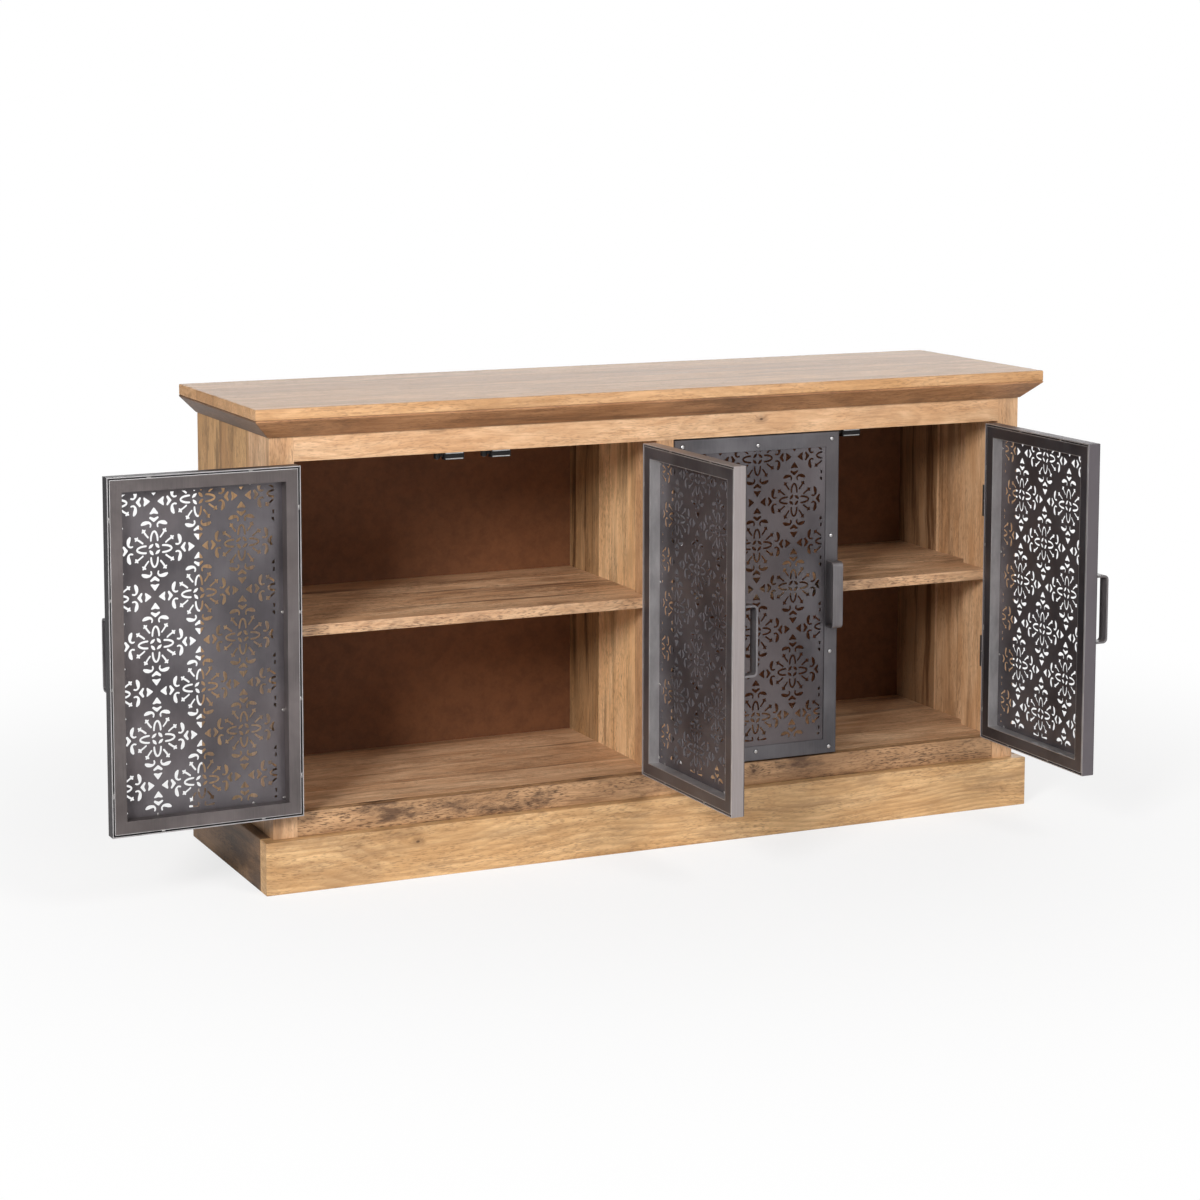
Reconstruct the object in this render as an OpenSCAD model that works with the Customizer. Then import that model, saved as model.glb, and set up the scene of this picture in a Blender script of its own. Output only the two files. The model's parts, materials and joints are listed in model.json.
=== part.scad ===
// Sideboard buffet: a solid wood cabinet with a crown moulding and a plinth, and four inset steel doors.
// Origin: on the floor, at the middle of the plinth's footprint. +X right, +Y to the back, +Z up.

/* [Cabinet] */
// Width over the two end posts
body_w = 1530; // [1200:10:2000]
// Depth from the front of the posts to the back of the side panels
body_d = 420; // [320:5:560]
// Height from the floor to the top surface
total_h = 862; // [760:2:1100]

/* [Top] */
// Thickness of the top slab
slab_t = 20; // [12:1:36]
// How far the slab stands out past the body at the front and the sides
overhang = 35; // [15:1:60]
// Height of the slanted crown moulding under the slab
crown_h = 34; // [18:1:60]
// Small square lip along both edges of the crown moulding
crown_lip = 3; // [1:0.5:6]

/* [Plinth] */
// Height of the plinth boards
plinth_h = 95; // [60:1:140]
// How far the plinth stands out past the body at the front and the sides
plinth_step = 20; // [5:1:40]
// Thickness of the front and side plinth boards
plinth_t = 35; // [28:1:50]
// Thickness of the plinth's back board
plinth_back_t = 20; // [12:1:30]
// Thickness of the bearer under the middle of the bottom board
bearer_t = 35; // [20:1:60]
// Length of each leg of the triangular glue blocks in the plinth's corners
glue_block = 55; // [30:1:90]

/* [Front frame] */
// Width of each end post, seen from the front
post_w = 45; // [34:1:80]
// Depth of each end post
post_d = 115; // [80:1:150]
// Width of the centre stile, seen from the front
stile_w = 34; // [32:1:70]
// Depth of the centre stile
stile_d = 90; // [70:1:130]
// Height of the top rail that shows between the crown moulding and the doors
rail_show = 44; // [24:1:80]
// Depth of the top rail
rail_d = 45; // [44:1:70]
// Height of the bottom rail
bottom_rail_h = 44; // [30:1:80]
// Depth of the bottom rail
bottom_rail_d = 25; // [18:1:40]

/* [Carcass] */
// Thickness of the side panels behind the end posts
side_t = 22; // [18:1:34]
// Thickness of the partition behind the centre stile
partition_t = 20; // [18:1:30]
// Thickness of the bottom board
board_t = 20; // [14:1:28]
// Thickness of the shelves
shelf_t = 20; // [12:1:30]
// Height of the shelves' top above the bottom board
shelf_rise = 328; // [150:1:450]
// Gap between the closed doors and the front edge of the shelves
shelf_gap = 4; // [2:1:40]
// Depth of the grooves that hold the ends of the shelves
groove = 6; // [3:0.5:8]
// Thickness of the back panels
back_t = 6; // [4:0.5:10]
// How deep the back panels sit in from the back edges of the side panels
back_inset = 11; // [4:1:20]
// Width of the rebate in each side panel that takes the edge of a back panel
rebate = 10; // [6:1:14]
// Height of the rear rail under the slab
rear_rail_h = 60; // [40:1:90]
// Thickness of the rear rail
rear_rail_t = 20; // [14:1:30]

/* [Doors] */
// Depth of a door
door_t = 26; // [20:1:34]
// Gap between a door and the post or stile that it hangs on
hinge_gap = 3; // [2.6:0.1:5]
// Gap between the free edges of two closed doors
meet_gap = 2; // [2:0.5:5]
// Gap above and below a door
door_gap = 2.5; // [1.5:0.5:5]
// Width of the flat border on the front of a door
border_w = 28; // [24:1:45]
// Thickness of the folded steel of the outer frame
frame_t = 2; // [1.5:0.5:3]
// Thickness of the ornamental sheet
sheet_t = 1.5; // [1:0.5:3]
// Width of the inner frame, seen from behind
inner_w = 22; // [16:1:30]
// Gap between the outer frame's fold and the inner frame
inner_gap = 2.5; // [1:0.5:5]
// How far the inner frame's back sits in from the fold's back edge
inner_recess = 1; // [0.5:0.5:4]
// Opening angle of the first door, counted from the left
open_1 = 178; // [0:1:180]
// Opening angle of the second door
open_2 = 91; // [0:1:91]
// Opening angle of the third door
open_3 = 0; // [0:1:87]
// Opening angle of the fourth door
open_4 = 90; // [0:1:180]

/* [Handles] */
// Height of a handle
handle_h = 128; // [90:1:200]
// How far a handle stands out from its door
handle_out = 26; // [18:1:26]
// Width of the handle's strap
handle_w = 22; // [14:1:24]
// Thickness of the handle's strap
handle_t = 4; // [3:0.5:6]
// Radius of the handle's outer corners
handle_r = 9; // [7:0.5:14]
// Distance from the door's free edge to the middle of the handle
handle_in = 14; // [13:0.5:18]

/* [Hinges] */
// Height of a hinge
hinge_h = 62; // [45:1:90]
// Distance of each hinge's middle from the door's middle height
hinge_spread = 150; // [80:1:220]
// How far the hinge axis stands in front of the body
axis_out = 4; // [3.7:0.1:7]
// Outer radius of the hinge knuckles
knuckle_r = 3.2; // [2.6:0.1:3.6]
// Radius of the hinge pins
pin_r = 1.5; // [1:0.1:1.8]
// Thickness of the hinge leaves
leaf_t = 1.2; // [0.8:0.1:1.25]
// How far a frame leaf reaches back from the front of the body
leaf_reach = 48; // [38:1:60]

/* [Catches] */
// Length of a magnetic catch with its screw lug
catch_w = 60; // [50:1:80]
// Depth of a catch
catch_d = 14; // [10:1:16]
// Height of a catch
catch_h = 17; // [14:1:22]
// Length of the screw lug at the left end of a catch
lug_w = 22; // [16:1:28]

/* [Hidden] */
$fn = 48;
eps = 1; // how far a cutting shape runs past the face it cuts

// Main planes of the cabinet
body_x = body_w / 2;
front_y = -(body_d - plinth_step) / 2;
rear_y = front_y + body_d;
body_top = total_h - slab_t;
crown_z = body_top - crown_h;
open_top = crown_z - rail_show;
open_bottom = plinth_h + bottom_rail_h;
post_in = body_x - post_w;
side_in = body_x - side_t;
stile_x = stile_w / 2;
part_x = partition_t / 2;
post_back = front_y + post_d;
stile_back = front_y + stile_d;
rail_back = front_y + rail_d;
bottom_rail_back = front_y + bottom_rail_d;
back_y = rear_y - back_inset - back_t;
shelf_front = front_y + door_t + shelf_gap;
shelf_top = open_bottom + shelf_rise;
plinth_x = body_x + plinth_step;
plinth_front_y = front_y - plinth_step;
plinth_in_x = plinth_x - plinth_t;
plinth_in_y = plinth_front_y + plinth_t;
plinth_back_in = rear_y - plinth_back_t;

// Doors: sizes, and places in a door's own frame, where u runs from the hinge axis to the free edge,
// n runs from the axis towards the back of the closed door, and z starts at the door's bottom edge
door_w = (post_in - stile_x - 2 * hinge_gap - meet_gap) / 2;
door_h = open_top - open_bottom - 2 * door_gap;
door_z = open_bottom + door_gap;
u0 = hinge_gap / 2;
n0 = axis_out;
sheet_n = n0 + frame_t;
inner_n = sheet_n + sheet_t;
inner_back = n0 + door_t - inner_recess;
inner_edge = frame_t + inner_gap;
angles = [open_1, open_2, open_3, open_4];
hand = [1, -1, 1, -1]; // 1 hangs on its left edge, -1 on its right edge
hinge_x = [-post_in + u0, -stile_x - u0, stile_x + u0, post_in - u0];
meet_x = (post_in + stile_x) / 2;

// Rivets on a door's border: distance in from the edges, and how far up the sides
rivet_in = 16;
rivet_mid_in = 18;
rivet_top_in = 13;
rivet_share = 0.32;
rivet_r = 4.4;
rivet_dome = 2.2;
rivet_shank = 2;
rivet_tail = 1; // height of the flattened tail behind the sheet
rivet_tail_r = 3;

// Hinges
knuckle_gap = 0.15; // half of the gap between two knuckles
knuckle_clear = 0.4; // between a knuckle and the other leaf's edge
pin_clear = 0.05; // radial running clearance in the door's knuckle
pin_head = 1; // thickness of the pins' heads
pin_head_step = 0.6; // how much smaller than the knuckles the heads are
leaf_hole_in = 9; // outer screw holes, from the ends of a leaf
leaf_hole_back = [28, 8]; // outer and middle screw holes, from the back edge of a frame leaf
screw_r = 1.6;
screw_head_r = 3;
screw_len = 13;

// Catches
catch_gap = 1.5; // between a closed door's fold and a catch
catch_base = 3; // thickness of the base against the top rail
catch_hole_in = 10; // from a catch's left end to the middle of its screw
catch_boss_r = 6; // round boss that the screw goes up through
catch_boss_h = 14; // from the top rail to the boss's lower end
catch_web = [4, 11]; // thickness and height of the web from the boss to the case
catch_head_r = 3.5; // head of a catch's screw
catch_head_h = 2.4;
pole_t = 2;
pole_out = 1; // how far the pole plates stand out of the catch
pole_in = 3; // how far the pole plates end in front of the catch's back
pole_side = 2; // plastic beside the pole plates
pole_skin = 1; // plastic above and below the pole plates
catch_offsets = [-50, 41, -62, 30]; // from the line where two doors meet
catch_x = [for (i = [0:3]) catch_offsets[i] + (i < 2 ? -meet_x : meet_x)];
catch_y = front_y + door_t + catch_gap;

// Back panel screws
back_screw_r = 1.5;
back_screw_head = 3.2;
back_screw_dome = 1.6;
back_screw_len = 14;
back_gap = 0.5; // between the two back panels
across = [0.16, 0.5, 0.84]; // screws along a panel's top and bottom, as shares of its width
up_side = [0.12, 0.37, 0.63, 0.88]; // screws up a side, as shares of the screws' height
up_middle = [0.3, 0.6]; // screws up the partition

// Glue blocks
block_gap = 5; // above the floor and below the posts

module block(x0, x1, y0, y1, z0, z1) {
    translate([x0, y0, z0]) cube([x1 - x0, y1 - y0, z1 - z0]);
}

// A piece drawn in the Y-Z plane and extruded along X
module slice(x0, x1) {
    translate([x0, 0, 0]) rotate([90, 0, 90]) linear_extrude(x1 - x0) children();
}

module left_hand() {
    mirror([1, 0, 0]) children();
}

// ---- top ----
module top_slab() {
    color("burlywood")
    block(-body_x - overhang, body_x + overhang, front_y - overhang, rear_y, body_top, total_h);
}

// Section of the crown moulding: out is the distance from the body
module crown_section() {
    polygon([[0, 0], [crown_lip, 0], [overhang, crown_h - crown_lip], [overhang, crown_h], [0, crown_h]]);
}

module crown_front() {
    color("peru")
    intersection() {
        translate([-body_x - overhang, front_y, crown_z]) rotate([90, 0, 90])
            linear_extrude(2 * (body_x + overhang)) mirror([1, 0]) crown_section();
        translate([0, 0, crown_z]) linear_extrude(crown_h)
            polygon([
                [-body_x - overhang, front_y - overhang], [body_x + overhang, front_y - overhang],
                [body_x, front_y], [-body_x, front_y]
            ]);
    }
}

module crown_right() {
    color("peru")
    intersection() {
        translate([body_x, rear_y, crown_z]) rotate([90, 0, 0])
            linear_extrude(body_d + overhang) crown_section();
        translate([0, 0, crown_z]) linear_extrude(crown_h)
            polygon([
                [body_x, front_y], [body_x + overhang, front_y - overhang],
                [body_x + overhang, rear_y], [body_x, rear_y]
            ]);
    }
}

module crown_left() {
    left_hand() crown_right();
}

// ---- front frame ----
// Holes or shanks for the screws of door k's two hinges
module leaf_screws(k) {
    translate([hinge_x[k], front_y - axis_out, 0]) handed(k)
        for (z = hinge_z(), spot = [
            [leaf_hole_in, leaf_hole_back[0]], [hinge_h - leaf_hole_in, leaf_hole_back[0]],
            [hinge_h / 2, leaf_hole_back[1]]
        ])
            translate([-u0 + leaf_t, axis_out + leaf_reach - spot[1], z + spot[0]])
                rotate([0, -90, 0]) children();
}

module leaf_screw() {
    cylinder(h = leaf_t, r1 = screw_head_r, r2 = screw_r);
    cylinder(h = leaf_t + screw_len, r = screw_r);
}

module post(k) {
    color("tan")
    difference() {
        block(post_in, body_x, front_y, post_back, plinth_h, body_top);
        if (k == 0) left_hand() leaf_screws(0) leaf_screw();
        else leaf_screws(3) leaf_screw();
    }
}

module right_post() {
    post(3);
}

module left_post() {
    left_hand() post(0);
}

module centre_stile() {
    color("tan")
    difference() {
        block(-stile_x, stile_x, front_y, stile_back, open_bottom, open_top);
        leaf_screws(1) leaf_screw();
        leaf_screws(2) leaf_screw();
    }
}

module top_rail() {
    color("burlywood")
    difference() {
        block(-post_in, post_in, front_y, rail_back, open_top, body_top);
        catch_screw_spots() cylinder(h = screw_len, r = screw_r);
    }
}

module bottom_rail() {
    color("burlywood")
    block(-post_in, post_in, front_y, bottom_rail_back, plinth_h, open_bottom);
}

// ---- carcass ----
module right_side_panel() {
    color("tan")
    difference() {
        block(side_in, body_x, post_back, rear_y, plinth_h, body_top);
        block(side_in - eps, side_in + groove, post_back - eps, back_y, shelf_top - shelf_t, shelf_top);
        block(side_in - eps, side_in + rebate, back_y, rear_y + eps, plinth_h - eps, body_top + eps);
        back_screws() back_screw_shank();
    }
}

module left_side_panel() {
    left_hand() right_side_panel();
}

module partition() {
    color("tan")
    difference() {
        slice(-part_x, part_x) polygon([
            [stile_back, open_bottom], [back_y, open_bottom],
            [back_y, body_top - rear_rail_h], [back_y - rear_rail_t, body_top - rear_rail_h],
            [back_y - rear_rail_t, body_top], [rail_back, body_top],
            [rail_back, open_top], [stile_back, open_top]
        ]);
        for (side = [-1, 1])
            translate([side * part_x, 0, 0])
                block(-groove, groove, stile_back - eps, back_y + eps, shelf_top - shelf_t, shelf_top);
        back_screws() back_screw_shank();
    }
}

module bottom_board() {
    color("burlywood")
    difference() {
        translate([0, 0, open_bottom - board_t]) linear_extrude(board_t) polygon([
            [-post_in, bottom_rail_back], [post_in, bottom_rail_back],
            [post_in, post_back], [side_in, post_back], [side_in, back_y],
            [-side_in, back_y], [-side_in, post_back], [-post_in, post_back]
        ]);
        back_screws() back_screw_shank();
    }
}

module right_shelf() {
    color("burlywood")
    translate([0, 0, shelf_top - shelf_t]) linear_extrude(shelf_t) polygon([
        [stile_x, shelf_front], [post_in, shelf_front], [post_in, post_back],
        [side_in + groove, post_back], [side_in + groove, back_y],
        [part_x - groove, back_y], [part_x - groove, stile_back], [stile_x, stile_back]
    ]);
}

module left_shelf() {
    left_hand() right_shelf();
}

module right_back_panel() {
    color("saddlebrown")
    difference() {
        block(back_gap / 2, side_in + rebate, back_y, back_y + back_t, plinth_h, body_top);
        back_screws() back_screw_shank();
    }
}

module left_back_panel() {
    left_hand() right_back_panel();
}

module rear_rail() {
    color("tan")
    difference() {
        block(-side_in, side_in, back_y - rear_rail_t, back_y, body_top - rear_rail_h, body_top);
        back_screws() back_screw_shank();
    }
}

// Places of the back panels' screws: into the bottom board, the rear rail, the partition and the sides
module back_screws() {
    low = open_bottom - board_t / 2;
    high = body_top - rear_rail_h / 2;
    for (side = [-1, 1]) {
        for (x = across * side_in, z = [low, high])
            translate([side * x, back_y + back_t, z]) rotate([90, 0, 0]) children();
        for (t = up_side)
            translate([side * (side_in + rebate / 2), back_y + back_t, low + t * (high - low)])
                rotate([90, 0, 0]) children();
        for (t = up_middle)
            translate([side * part_x / 2, back_y + back_t, low + t * (high - low)])
                rotate([90, 0, 0]) children();
    }
}

module back_screw_shank() {
    cylinder(h = back_t + back_screw_len, r = back_screw_r);
}

module back_panel_screws() {
    color("silver")
    back_screws() {
        back_screw_shank();
        dome(back_screw_head, back_screw_dome);
    }
}

// A low dome on the plane z = 0, pointing down
module dome(r, h) {
    big = (r * r + h * h) / (2 * h);
    rotate_extrude() intersection() {
        translate([0, big - h]) circle(big, $fn = 96);
        translate([0, -h]) square([r, h]);
    }
}

// ---- plinth ----
module plinth_front() {
    color("goldenrod")
    block(-plinth_x, plinth_x, plinth_front_y, plinth_in_y, 0, plinth_h);
}

module plinth_right() {
    color("goldenrod")
    block(plinth_in_x, plinth_x, plinth_in_y, rear_y, 0, plinth_h);
}

module plinth_left() {
    left_hand() plinth_right();
}

module plinth_back() {
    color("goldenrod")
    block(-plinth_in_x, plinth_in_x, plinth_back_in, rear_y, 0, plinth_h);
}

module plinth_bearer() {
    color("goldenrod")
    slice(-bearer_t / 2, bearer_t / 2) polygon([
        [plinth_in_y, 0], [plinth_back_in, 0], [plinth_back_in, open_bottom - board_t],
        [max(plinth_in_y, bottom_rail_back), open_bottom - board_t],
        [max(plinth_in_y, bottom_rail_back), plinth_h], [plinth_in_y, plinth_h]
    ]);
}

module plinth_glue_blocks() {
    color("goldenrod")
    for (side = [-1, 1], corner = [[plinth_in_y, 1], [plinth_back_in, -1]])
        translate([side * plinth_in_x, corner[0], block_gap]) linear_extrude(plinth_h - 2 * block_gap)
            polygon([[0, 0], [-side * glue_block, 0], [0, corner[1] * glue_block]]);
}

// ---- catches ----
module catch_screw_spots() {
    for (x = catch_x)
        translate([x - catch_w / 2 + catch_hole_in, catch_y + catch_d / 2, open_top]) children();
}

module pole_boxes(x) {
    left = x - catch_w / 2 + lug_w + pole_side;
    right = x + catch_w / 2 - pole_side;
    for (z = [open_top - catch_base - pole_t - pole_skin, open_top - catch_h + pole_skin])
        block(left, right, catch_y - pole_out, catch_y + catch_d - pole_in, z, z + pole_t);
}

module catch_bodies() {
    color("dimgray")
    difference() {
        union() {
            for (x = catch_x) {
                left = x - catch_w / 2;
                right = x + catch_w / 2;
                block(left, right, catch_y, catch_y + catch_d, open_top - catch_base, open_top);
                block(left + lug_w, right, catch_y, catch_y + catch_d, open_top - catch_h, open_top);
                block(left + catch_hole_in, left + lug_w, catch_y + (catch_d - catch_web[0]) / 2,
                    catch_y + (catch_d + catch_web[0]) / 2, open_top - catch_web[1], open_top);
            }
            catch_screw_spots() translate([0, 0, -catch_boss_h]) cylinder(h = catch_boss_h, r = catch_boss_r);
        }
        for (x = catch_x) pole_boxes(x);
        catch_screw_spots() cylinder(h = 3 * catch_boss_h, r = screw_r, center = true);
    }
}

module catch_pole_plates() {
    color("silver")
    for (x = catch_x) pole_boxes(x);
}

module catch_screws() {
    color("dimgray")
    catch_screw_spots() translate([0, 0, -catch_boss_h]) {
        cylinder(h = catch_boss_h + screw_len, r = screw_r);
        dome(catch_head_r, catch_head_h);
    }
}

// ---- hinges ----
function hinge_z() = [for (side = [-1, 1]) door_z + door_h / 2 + side * hinge_spread - hinge_h / 2];

module handed(k) {
    if (hand[k] > 0) children();
    else mirror([1, 0, 0]) children();
}

// One leaf with its knuckles, drawn for the door side: spans lists the knuckles' lowest and highest z
module leaf(reach, spans, bore_r) {
    edge = knuckle_r + knuckle_clear;
    difference() {
        union() {
            block(u0 - leaf_t, u0, edge, axis_out + reach, 0, hinge_h);
            for (span = spans) {
                block(u0 - leaf_t, u0, 0, edge + eps, span[0], span[1]);
                translate([0, 0, span[0]]) cylinder(h = span[1] - span[0], r = knuckle_r);
            }
        }
        translate([0, 0, -eps]) cylinder(h = hinge_h + 2 * eps, r = bore_r);
    }
}

module frame_hinge_leaves() {
    color("gray")
    for (k = [0:3])
        difference() {
            translate([hinge_x[k], front_y - axis_out, 0]) handed(k)
                for (z = hinge_z()) translate([0, 0, z]) mirror([1, 0, 0])
                    leaf(leaf_reach, [
                        [0, hinge_h / 3 - knuckle_gap], [hinge_h * 2 / 3 + knuckle_gap, hinge_h]
                    ], pin_r);
            leaf_screws(k) leaf_screw();
        }
}

module hinge_pins() {
    color("silver")
    for (k = [0:3], z = hinge_z())
        translate([hinge_x[k], front_y - axis_out, z]) {
            cylinder(h = hinge_h, r = pin_r);
            for (end = [-pin_head, hinge_h])
                translate([0, 0, end]) cylinder(h = pin_head, r = knuckle_r - pin_head_step);
        }
}

module hinge_screws() {
    color("silver")
    for (k = [0:3]) leaf_screws(k) leaf_screw();
}

// ---- doors ----
// Puts a piece that is drawn in a door's own frame on door k
module on_door(k) {
    translate([hinge_x[k], front_y - axis_out, door_z])
        rotate([0, 0, -hand[k] * angles[k]]) handed(k) children();
}

// A rectangular ring in the door's plane, inset from the door's edges
module ring(inset, width, n_front, n_back) {
    difference() {
        block(u0 + inset, u0 + door_w - inset, n_front, n_back, inset, door_h - inset);
        block(
            u0 + inset + width, u0 + door_w - inset - width, n_front - eps, n_back + eps,
            inset + width, door_h - inset - width
        );
    }
}

module rivet_spots() {
    for (u = [rivet_in, door_w - rivet_in]) {
        for (z = [rivet_top_in, door_h * rivet_share, door_h * (1 - rivet_share), door_h - rivet_top_in])
            translate([u0 + u, n0, z]) rotate([-90, 0, 0]) children();
    }
    for (z = [rivet_mid_in, door_h - rivet_mid_in])
        translate([u0 + door_w / 2, n0, z]) rotate([-90, 0, 0]) children();
}

module door_frame(k) {
    color("dimgray")
    on_door(k) difference() {
        union() {
            ring(0, border_w, n0, n0 + frame_t);
            ring(0, frame_t, n0, n0 + door_t);
        }
        rivet_spots() cylinder(h = 2 * door_t, r = rivet_shank, center = true);
    }
}

module door_sheet(k) {
    color("gray")
    on_door(k) difference() {
        block(u0 + frame_t, u0 + door_w - frame_t, sheet_n, sheet_n + sheet_t, frame_t, door_h - frame_t);
        rivet_spots() cylinder(h = 2 * door_t, r = rivet_shank, center = true);
    }
}

module door_inner_frame(k) {
    color("darkgray")
    on_door(k) {
        ring(inner_edge, inner_w, inner_back - frame_t, inner_back);
        ring(inner_edge + inner_w - frame_t, frame_t, inner_n, inner_back);
    }
}

module door_rivets(k) {
    color("silver")
    on_door(k) rivet_spots() {
        cylinder(h = frame_t + sheet_t + rivet_tail, r = rivet_shank);
        translate([0, 0, frame_t + sheet_t]) cylinder(h = rivet_tail, r = rivet_tail_r);
        dome(rivet_r, rivet_dome);
    }
}

module round_rect(w, h, r) {
    union() {
        translate([r, 0]) square([w - 2 * r, h]);
        translate([0, r]) square([w, h - 2 * r]);
        for (x = [r, w - r], y = [r, h - r]) translate([x, y]) circle(r);
    }
}

module door_handle(k) {
    color("dimgray")
    on_door(k) translate([u0 + door_w - handle_in - handle_w / 2, 0, (door_h - handle_h) / 2])
        rotate([90, 0, 90]) linear_extrude(handle_w) intersection() {
            difference() {
                translate([n0 - handle_out, 0]) round_rect(2 * handle_out, handle_h, handle_r);
                translate([n0 - handle_out + handle_t, handle_t])
                    round_rect(2 * handle_out, handle_h - 2 * handle_t, handle_r - handle_t);
            }
            translate([n0 - handle_out, 0]) square([handle_out, handle_h]);
        }
}

module door_hinge_leaves(k) {
    color("gray")
    translate([hinge_x[k], front_y - axis_out, 0]) rotate([0, 0, -hand[k] * angles[k]]) handed(k)
        for (z = hinge_z()) translate([0, 0, z])
            leaf(
                door_t - frame_t, [[hinge_h / 3 + knuckle_gap, hinge_h * 2 / 3 - knuckle_gap]],
                pin_r + pin_clear
            );
}

top_slab();
crown_front();
crown_left();
crown_right();
left_post();
right_post();
centre_stile();
top_rail();
bottom_rail();
left_side_panel();
right_side_panel();
partition();
bottom_board();
left_shelf();
right_shelf();
left_back_panel();
right_back_panel();
rear_rail();
plinth_front();
plinth_left();
plinth_right();
plinth_back();
plinth_bearer();
plinth_glue_blocks();
catch_bodies();
catch_pole_plates();
catch_screws();
back_panel_screws();
frame_hinge_leaves();
hinge_pins();
hinge_screws();
door_frame(0);  // door_1_frame
door_sheet(0);  // door_1_sheet
door_inner_frame(0);  // door_1_inner_frame
door_rivets(0);  // door_1_rivets
door_handle(0);  // door_1_handle
door_hinge_leaves(0);  // door_1_hinge_leaves
door_frame(1);  // door_2_frame
door_sheet(1);  // door_2_sheet
door_inner_frame(1);  // door_2_inner_frame
door_rivets(1);  // door_2_rivets
door_handle(1);  // door_2_handle
door_hinge_leaves(1);  // door_2_hinge_leaves
door_frame(2);  // door_3_frame
door_sheet(2);  // door_3_sheet
door_inner_frame(2);  // door_3_inner_frame
door_rivets(2);  // door_3_rivets
door_handle(2);  // door_3_handle
door_hinge_leaves(2);  // door_3_hinge_leaves
door_frame(3);  // door_4_frame
door_sheet(3);  // door_4_sheet
door_inner_frame(3);  // door_4_inner_frame
door_rivets(3);  // door_4_rivets
door_handle(3);  // door_4_handle
door_hinge_leaves(3);  // door_4_hinge_leaves
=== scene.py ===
import json
import math
import random

import bmesh
import bpy
from mathutils import Matrix, Vector
from mathutils.geometry import delaunay_2d_cdt


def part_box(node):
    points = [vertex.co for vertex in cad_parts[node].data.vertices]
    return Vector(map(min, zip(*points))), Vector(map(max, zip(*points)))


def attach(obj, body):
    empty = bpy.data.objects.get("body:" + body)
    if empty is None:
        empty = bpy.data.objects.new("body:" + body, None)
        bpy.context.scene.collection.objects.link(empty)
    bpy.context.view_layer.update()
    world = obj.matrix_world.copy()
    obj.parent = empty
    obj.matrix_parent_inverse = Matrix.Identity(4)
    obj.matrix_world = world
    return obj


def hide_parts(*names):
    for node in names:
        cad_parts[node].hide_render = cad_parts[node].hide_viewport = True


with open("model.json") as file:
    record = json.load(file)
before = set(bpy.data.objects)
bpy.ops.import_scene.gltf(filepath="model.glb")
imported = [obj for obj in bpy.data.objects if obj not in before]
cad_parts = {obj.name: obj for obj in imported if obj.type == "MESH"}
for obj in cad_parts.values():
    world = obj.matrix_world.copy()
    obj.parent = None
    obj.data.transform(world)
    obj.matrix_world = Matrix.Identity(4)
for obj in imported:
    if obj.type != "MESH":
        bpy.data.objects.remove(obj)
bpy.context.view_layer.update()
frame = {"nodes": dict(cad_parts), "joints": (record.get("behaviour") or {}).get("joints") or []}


# ---- Camera ----
# It stands in front and to the left, higher than the top, and looks slightly down.
# A long lens and a small shift keep the uprights nearly parallel.
camera_data = bpy.data.cameras.new("camera")
camera_data.lens = 85.94
camera_data.sensor_width = 36
camera_data.shift_x = 0.0375
camera_data.shift_y = -0.1667
camera = bpy.data.objects.new("camera", camera_data)
camera.location = (-2.32, -4.893, 1.4395)
camera_turn = math.radians(-24.084)
camera_tilt = math.radians(-6.555)
camera.rotation_euler = (math.pi / 2 + camera_tilt, 0, camera_turn)
bpy.context.collection.objects.link(camera)
bpy.context.scene.camera = camera


# ---- Studio ----
# A plain white floor that fades into a white room. One bright soft box stands far off to the left,
# one hangs high in front, and large dim cards stand in front on the right and behind.
def mesh_piece(name, bm, smooth=False):
    mesh = bpy.data.meshes.new(name)
    bm.normal_update()
    bm.to_mesh(mesh)
    bm.free()
    mesh.polygons.foreach_set("use_smooth", [smooth] * len(mesh.polygons))
    piece = bpy.data.objects.new(name, mesh)
    bpy.context.collection.objects.link(piece)
    return piece


class Field:
    """One output of a shader node. Sums and products of fields add Math nodes."""

    def __init__(self, finish, socket):
        self.finish = finish
        self.socket = socket

    def out(self, name):
        return Field(self.finish, self.socket.node.outputs[name])

    def maths(self, operation, *others):
        return self.finish.maths(operation, self, *others)

    def __add__(self, other):
        return self.maths("ADD", other)

    def __radd__(self, other):
        return self.maths("ADD", other)

    def __sub__(self, other):
        return self.maths("SUBTRACT", other)

    def __rsub__(self, other):
        return self.finish.maths("SUBTRACT", other, self)

    def __mul__(self, other):
        return self.maths("MULTIPLY", other)

    def __rmul__(self, other):
        return self.maths("MULTIPLY", other)

    def __truediv__(self, other):
        return self.maths("DIVIDE", other)

    def __pow__(self, other):
        return self.maths("POWER", other)


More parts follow.
